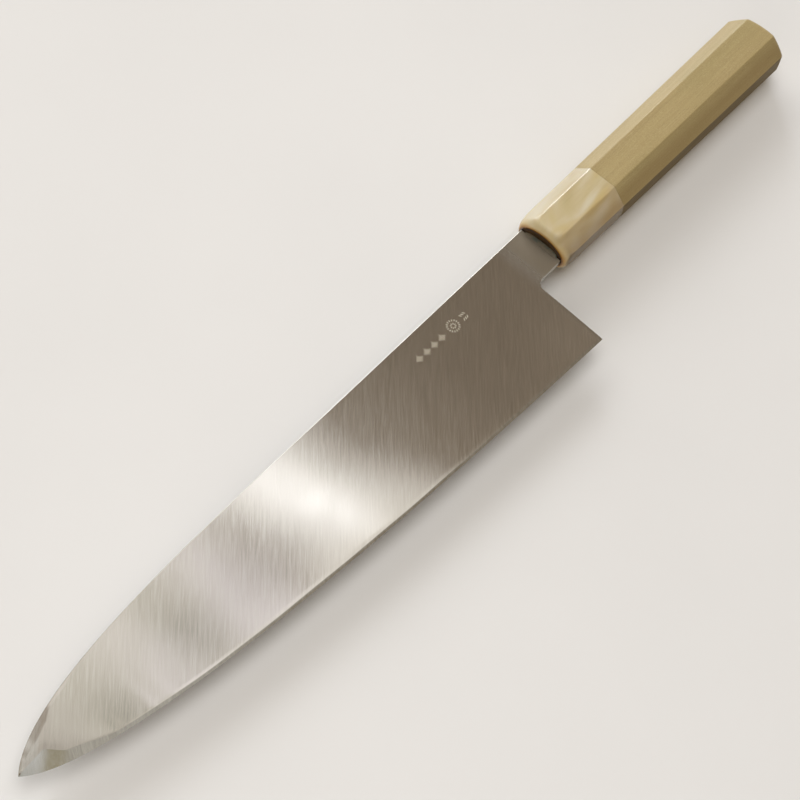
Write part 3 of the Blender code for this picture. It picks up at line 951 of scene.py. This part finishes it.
# ---------------------------------------------------------------------------
# the blade piece
# ---------------------------------------------------------------------------
def brush_uv(mesh):
    """UV map "brush", whose U runs across the satin scratches."""
    layer = mesh.uv_layers.get("brush") or mesh.uv_layers.new(name="brush")
    places = np.zeros(len(mesh.vertices) * 3, np.float32)
    mesh.vertices.foreach_get("co", places)
    places = places.reshape(-1, 3)
    corners = np.zeros(len(mesh.loops), np.int32)
    mesh.loops.foreach_get("vertex_index", corners)
    cos, sin = math.cos(BRUSH), math.sin(BRUSH)
    along = places[:, 0] * cos + places[:, 1] * sin
    across = places[:, 0] * sin - places[:, 1] * cos
    uv = np.stack([across[corners], along[corners]], 1) * 3.0 + 0.5
    layer.data.foreach_set("uv", uv.astype(np.float32).ravel())


def restore_slots(mesh):
    """Puts the steels back in their slots, which the booleans may have shuffled."""
    wanted = [material.name for material in STEEL_SET]
    present = [material.name if material else "" for material in mesh.materials]
    index = np.zeros(len(mesh.polygons), np.int32)
    mesh.polygons.foreach_get("material_index", index)
    names = [present[i] if i < len(present) else wanted[0] for i in index]
    mesh.materials.clear()
    for material in STEEL_SET:
        mesh.materials.append(material)
    fixed = np.array([wanted.index(name) if name in wanted else 0 for name in names],
                     np.int32)
    mesh.polygons.foreach_set("material_index", fixed)


def sharpen_nicks(mesh):
    bm = bmesh.new()
    bm.from_mesh(mesh)
    for edge in bm.edges:
        if any(face.material_index == ETCH for face in edge.link_faces):
            edge.smooth = False
    bm.to_mesh(mesh)
    bm.free()


def make_blade():
    """Blade, neck and tang in one, with the ornament cut in."""
    ob = blade_grid()
    if measure(ob)[1]:
        raise RuntimeError("the blade's grid is not closed")
    cut(ob, choil_cutter())
    ease_choil(ob)
    cut(ob, tapered_bar("neck_root", *ROOT_X, ROOT_SIZE, ROOT_SIZE, STEEL_SET[SATIN]),
        "UNION")
    cut(ob, tapered_bar("tang_bar", TANG_X0, TANG_END, TANG_FRONT, TANG_BACK,
                        STEEL_SET[SPINE]), "UNION")
    cut(ob, ornament_cutter())
    restore_slots(ob.data)
    shade(ob.data, sharp_angle=33)
    sharpen_nicks(ob.data)
    brush_uv(ob.data)
    return ob


# ---------------------------------------------------------------------------
# the handle pieces
# ---------------------------------------------------------------------------
def octagon(x, inset=0.0, ridge=RIDGE_R, arc=FERRULE_ARC, flat=0):
    """Ring of the tapering octagon at x.

    ridge is the ridges' radius, arc their steps, flat the extra points on each flat.
    """
    share = x / HANDLE_LEN
    half_y = (FRONT_HEIGHT + (BUTT_HEIGHT - FRONT_HEIGHT) * share) / 2 - inset
    half_z = (FRONT_THICKNESS + (BUTT_THICKNESS - FRONT_THICKNESS) * share) / 2 - inset
    chamfer = (FRONT_CHAMFER + (BUTT_CHAMFER - FRONT_CHAMFER) * share
               - (2 - math.sqrt(2)) * inset)
    flat_y, flat_z = half_y - chamfer, half_z - chamfer
    corners = [(half_y, flat_z), (flat_y, half_z), (-flat_y, half_z), (-half_y, flat_z),
               (-half_y, -flat_z), (-flat_y, -half_z), (flat_y, -half_z), (half_y, -flat_z)]
    reach = ridge / math.cos(math.pi / 8)
    ring = []
    for k, (corner_y, corner_z) in enumerate(corners):
        middle = math.pi / 4 * k + math.pi / 8
        centre_y = corner_y - reach * math.cos(middle)
        centre_z = corner_z - reach * math.sin(middle)
        for step in range(arc + 1):
            angle = middle + (step / arc - 0.5) * math.pi / 4
            ring.append(point(x, centre_y + ridge * math.cos(angle),
                              centre_z + ridge * math.sin(angle)))
    full = []
    for i, here in enumerate(ring):
        full.append(here)
        if i % (arc + 1) == arc:
            after = ring[(i + 1) % len(ring)]
            full += [here.lerp(after, j / (flat + 1)) for j in range(1, flat + 1)]
    return full


def ferrule_ridge(x):
    """Ridge radius of the ferrule: crisp at the seam, lost at the lip."""
    return RIDGE_R + 6.4 * smooth(6.4, 0.6, x)


def lip(x, share):
    """Ring between the octagon (share 0) and the oval mouth (share 1)."""
    ring = []
    for p in octagon(LIP_X, ridge=ferrule_ridge(x)):
        y, z = p.y / MM, p.z / MM
        size = math.hypot(y, z)
        oval_size = 1.0 / math.hypot(y / size / LIP_Y, z / size / LIP_Z)
        size += (oval_size - size) * share
        growth = size / math.hypot(y, z)
        ring.append(point(x, y * growth, z * growth))
    return ring


def oval(x, half_y, half_z):
    turns = [2 * math.pi * k / OVAL_SEGMENTS for k in range(OVAL_SEGMENTS)]
    return [point(x, half_y * math.cos(turn), half_z * math.sin(turn)) for turn in turns]


def loft(name, rings, top=None):
    """Skins the rings; the last cap can be a shallow dome that ends at x = top."""
    bm = bmesh.new()
    loops = [[bm.verts.new(p) for p in ring] for ring in rings]
    if top is not None:
        for share in DOME_SHARES:
            ring = [Vector((top * MM + (p.x - top * MM) * share ** 2,
                            p.y * share, p.z * share)) for p in rings[-1]]
            loops.append([bm.verts.new(p) for p in ring])
    count = len(loops[0])
    for a, b in zip(loops, loops[1:]):
        for i in range(count):
            j = (i + 1) % count
            bm.faces.new((a[i], a[j], b[j], b[i]))
    bm.faces.new(loops[0])
    bm.faces.new(list(reversed(loops[-1])))
    bmesh.ops.recalc_face_normals(bm, faces=bm.faces)
    return link_mesh(name, bm)


def oval_rod(name, x0, x1, half_y, half_z):
    """A cylinder along X, flattened to an oval."""
    bm = bmesh.new()
    bmesh.ops.create_cone(bm, cap_ends=True, segments=OVAL_SEGMENTS,
                          radius1=1.0, radius2=1.0, depth=1.0)
    bmesh.ops.transform(bm, matrix=Matrix.Rotation(math.pi / 2, 4, "Y"), verts=bm.verts)
    for vert in bm.verts:
        vert.co = point(x0 if vert.co.x < 0 else x1, vert.co.y * half_y, vert.co.z * half_z)
    return link_mesh(name, bm)


def make_ferrule():
    """Horn ring with a rounded lip round its oval mouth."""
    rings = []
    for i in range(21):
        angle = math.pi / 2 * i / 20
        rings.append(lip(LIP_X * (1 - math.cos(angle)), 1 - math.sin(angle)))
    rings += [octagon(x, ridge=ferrule_ridge(x)) for x in np.linspace(3.3, 6.6, 9)]
    rings += [octagon(x) for x in np.linspace(8.0, SEAM_X - SEAM_EASE, 14)]
    rings.append(octagon(SEAM_X - SEAM_GAP, inset=SEAM_INSET))
    ob = loft("ferrule_visual", rings)
    cut(ob, oval_rod("bore", -5.0, SEAM_X + 5.0, BORE_Y, BORE_Z))
    finish_mesh(ob, HORN, sharp_angle=33)
    return ob


def make_body():
    """Wooden handle with a domed butt, a tenon in the ferrule and a slot for the tang."""
    def ring_at(x, inset, ridge):
        return octagon(x, inset, ridge, arc=BODY_ARC, flat=BODY_FLAT)

    rings = [ring_at(SEAM_X + SEAM_GAP, SEAM_INSET, RIDGE_R)]
    rings += [ring_at(x, 0.0, RIDGE_R - BUTT_RIDGE_LOSS * smooth(SEAM_X, SEAM_X + 12.0, x))
              for x in np.linspace(SEAM_X + SEAM_EASE, HANDLE_LEN - 4.6, 30)]
    for i in range(13):
        angle = math.pi / 2 * i / 12
        inward = 1 - math.cos(angle)
        ring = ring_at(HANDLE_LEN - BUTT_CROWN - BUTT_ROUND_X * (1 - math.sin(angle)),
                       BUTT_ROUND_IN * inward, 0.9 + 2.6 * inward)
        # the end is domed: the ridges stop shorter than the flats between them,
        # and the spine side a little shorter than the belly side
        for p in ring:
            radius_squared = (p.y * p.y + p.z * p.z) / MM ** 2
            p.x -= (0.014 * max(0.0, radius_squared - 80.0)
                    + 0.05 * (p.y / MM + 1.0)) * MM
        rings.append(ring)
    ob = loft("handle_body_visual", rings, top=HANDLE_LEN - 0.02)
    cut(ob, oval_rod("tenon", 2.7, SEAM_X + 4.0, BORE_Y - TENON_FIT, BORE_Z - TENON_FIT),
        "UNION")
    cut(ob, tang_cutter("slot", TANG_END + 1.0, SLOT_FIT))
    finish_mesh(ob, WOOD, sharp_angle=30)
    return ob


def make_seal():
    """Resin plug: it stands at the rim and sinks towards the tang."""
    half_y, half_z = BORE_Y - SEAL_FIT, BORE_Z - SEAL_FIT
    ob = loft("mouth_seal_visual",
              [oval(2.45, half_y, half_z), oval(0.5, half_y, half_z),
               oval(0.22, half_y - 0.05, half_z - 0.05),
               oval(0.14, half_y - 0.25, half_z - 0.25)], top=1.59)
    step_size = grown_size(ROOT_SIZE, SEAL_FIT)
    cut(ob, tapered_bar("seal_step", CUT_START_X, ROOT_X[1] + SEAL_FIT,
                        step_size, step_size))
    cut(ob, tang_cutter("seal_slot", 6.0, SEAL_FIT))
    finish_mesh(ob, RESIN, sharp_angle=33)
    return ob


# all pieces are made before any is placed
for piece, node, slot_name in ((make_blade(), "blade", "satin_steel"),
                               (make_ferrule(), "ferrule", "blond_horn"),
                               (make_body(), "handle_body", "magnolia_wood"),
                               (make_seal(), "mouth_seal", "dark_resin")):
    piece.location = (FRONT, 0.0, 0.0)
    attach(piece, "root")
    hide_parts(node)


# ---------------------------------------------------------------------------
# floor
# ---------------------------------------------------------------------------
def make_floor():
    bm = bmesh.new()
    bmesh.ops.create_grid(bm, x_segments=1, y_segments=1, size=6.0)
    ob = link_mesh("floor", bm)
    ob.location = (0, 0, cad_lo.z - 0.00005)
    ob.data.materials.append(floor_material())
    return ob


make_floor()

# ---------------------------------------------------------------------------
# world: a dome of soft panels, placed where a ray meets a ceiling of unit
# height; "across" runs along X and "deep" along Y
# ---------------------------------------------------------------------------
AMBIENT = 0.25
# across: from, to, softness; deep: from, to, softness; level
PANELS = (
    (0.215, 0.426, 0.013, -0.04, 0.43, 0.05, 0.84),    # main panel
    (-0.60, 0.215, 0.03, -0.30, 0.43, 0.10, 0.36),     # its wing
    (0.382, 0.402, 0.007, 0.18, 0.43, 0.08, 1.74),     # bright strip
    (0.434, 0.470, 0.030, -0.30, 0.43, 0.10, 0.05),    # its spill
    (-0.60, 0.60, 0.10, -0.90, -0.04, 0.06, 0.07),     # low skirt
    (-0.90, 1.30, 0.20, 0.95, 2.20, 0.15, 0.45),       # back panel
)
# folds in the main panel's diffuser: across, deep, radius across, radius deep, level
SWELLS = ((0.278, 0.195, 0.016, 0.13, 0.40), (0.332, 0.205, 0.018, 0.13, 0.40))
DIPS = ((0.244, 0.222, 0.020, 0.09, -0.86), (0.300, 0.228, 0.021, 0.11, -0.84),
        (0.357, 0.232, 0.025, 0.09, -1.12))
SMALL_FOLDS = ((0.178, 0.402, 0.030, 0.08, -0.13), (0.222, 0.232, 0.018, 0.035, 0.27),
               (0.430, 0.180, 0.014, 0.05, 0.18), (0.578, 0.130, 0.040, 0.10, 0.06))
# direction, inner and outer angle in degrees, level
GLOWS = (
    ((0.59, 0.75, 0.24), 9.0, 30.0, 2.8),     # low window
    ((0.59, 0.71, 0.36), 3.0, 7.5, 17.0),     # its lamp
)
ROOM_COLOR = (1.0, 0.82, 0.63, 1.0)          # dim warm room
PANEL_COLOR = (1.0, 0.975, 0.93, 1.0)
STRIP_COLOR = (0.975, 1.0, 1.05, 1.0)
SWELL_COLOR = (1.0, 0.965, 1.06, 1.0)
DIP_COLOR = (1.0, 0.98, 0.80, 1.0)


class WorldGraph(Graph):
    """The dome's nodes."""

    spare_operand = 0.5

    def __init__(self, tree):
        super().__init__(tree)
        self.heading = self.add("ShaderNodeTexCoord").outputs["Generated"]
        split = self.add("ShaderNodeSeparateXYZ")
        self.put(split.inputs[0], self.heading)
        up = self.math("MAXIMUM", split.outputs["Z"], 0.02)
        self.across = self.math("DIVIDE", split.outputs["X"], up)
        self.deep = self.math("DIVIDE", split.outputs["Y"], up)
        # the panels' long sides slant a little, about deep = 0.28
        self.slanted = self.plus(self.across, self.times(self.minus(self.deep, 0.28), 0.14))

    def panel(self, across0, across1, across_soft, deep0, deep1, deep_soft, level):
        """A soft rectangular panel."""
        inside = None
        for value, start, end, soft in (
                (self.slanted, across0, across1, across_soft),
                (self.deep, deep0, deep1, deep_soft)):
            rise = self.span(value, over=(start - soft, start + soft))
            if inside is not None:
                rise = self.times(inside, rise)
            fall = self.span(value, over=(end - soft, end + soft), to=(1.0, 0.0))
            inside = self.times(rise, fall)
        return self.times(inside, level)

    def fold(self, across, deep, across_radius, deep_radius, level):
        """A soft round crease (level below 0) or swell."""
        away_across = self.math("DIVIDE", self.minus(self.across, across), across_radius)
        away_deep = self.math("DIVIDE", self.minus(self.deep, deep), deep_radius)
        away = self.length(away_across, away_deep)
        return self.times(self.span(away, over=(0.15, 1.0), to=(1.0, 0.0)), level)

    def glow(self, direction, inner, outer, level):
        """A soft round lobe of light around one direction."""
        nearness = self.dot(self.heading, Vector(direction).normalized())
        over = (math.cos(math.radians(outer)), math.cos(math.radians(inner)))
        return self.times(self.span(nearness, over=over), level)


def make_world():
    world = bpy.data.worlds.new("studio")
    world.use_nodes = True
    background = next(node for node in world.node_tree.nodes if node.type == "BACKGROUND")
    n = WorldGraph(world.node_tree)
    swells = [n.fold(*row) for row in SWELLS]
    dips = [n.fold(*row) for row in DIPS]
    parts = [n.panel(*row) for row in PANELS] + dips
    parts += [n.fold(*row) for row in SMALL_FOLDS] + swells
    parts += [n.glow(*row) for row in GLOWS]
    lit = 0.0
    for part in parts:
        lit = n.plus(lit, part)
    lit = n.math("MAXIMUM", lit, 0.0)
    color = n.paint(ROOM_COLOR, n.span(lit, over=(0.0, 0.5)), PANEL_COLOR)
    color = n.paint(color, n.span(lit, over=(1.0, 1.9)), STRIP_COLOR)
    swell_mask = n.plus(n.span(swells[0], over=(0.04, 0.30)),
                        n.span(swells[1], over=(0.02, 0.20)), clamp=True)
    color = n.paint(color, swell_mask, SWELL_COLOR)
    # the third dip keeps the panel's colour
    dip_mask = n.plus(n.span(dips[0], over=(-0.05, -0.5)),
                      n.span(dips[1], over=(-0.05, -0.5)), clamp=True)
    color = n.paint(color, dip_mask, DIP_COLOR)
    n.put(background.inputs["Color"], color)
    n.put(background.inputs["Strength"], n.plus(lit, AMBIENT))
    bpy.context.scene.world = world


make_world()


# ---------------------------------------------------------------------------
# lights and camera (metres; x counted from the ferrule's front face)
# ---------------------------------------------------------------------------
def softbox(name, centre, aim, size, watts, color):
    """A large soft lamp; the steel mirrors the dome, not the lamp itself."""
    centre, aim = [Vector((x + FRONT, y, z)) for x, y, z in (centre, aim)]
    data = bpy.data.lights.new(name, "AREA")
    data.shape = "RECTANGLE"
    data.size, data.size_y = size
    data.energy = watts
    data.color = color
    ob = bpy.data.objects.new(name, data)
    bpy.context.scene.collection.objects.link(ob)
    ob.location = centre
    ob.rotation_euler = (aim - centre).to_track_quat("-Z", "Y").to_euler()
    ob.visible_glossy = False
    ob.visible_camera = False


softbox("key", centre=(0.30, 1.15, 0.62), aim=(-0.06, 0.0, 0.0), size=(0.9, 0.6),
        watts=4.9, color=(1.0, 0.975, 0.94))
softbox("overhead", centre=(-0.05, -0.05, 1.5), aim=(-0.06, 0.0, 0.0), size=(1.3, 1.1),
        watts=9.6, color=(1.0, 0.985, 0.965))
softbox("fill", centre=(-0.75, -0.20, 0.45), aim=(-0.02, 0.0, 0.0), size=(0.7, 0.5),
        watts=1.1, color=(1.0, 0.975, 0.94))

CAMERA_PLACE = (FRONT - 0.42024316, -0.20058734, 0.67436899)
# the camera's right, up and backward directions
CAMERA_AXES = ((0.65461828, -0.74869018, 0.10436814),
               (0.62452859, 0.6134339, 0.48335064),
               (-0.42590284, -0.25122928, 0.86918321))


def make_camera():
    data = bpy.data.cameras.new("camera")
    data.sensor_width = 36.0
    data.lens = 94.5
    data.clip_start, data.clip_end = 0.05, 20.0
    ob = bpy.data.objects.new("camera", data)
    bpy.context.scene.collection.objects.link(ob)
    ob.matrix_world = (Matrix.Translation(CAMERA_PLACE)
                       @ Matrix(CAMERA_AXES).transposed().to_4x4())
    bpy.context.scene.camera = ob


make_camera()

view = bpy.context.scene.view_settings
view.view_transform = "Standard"
view.look = "None"

bpy.context.view_layer.update()
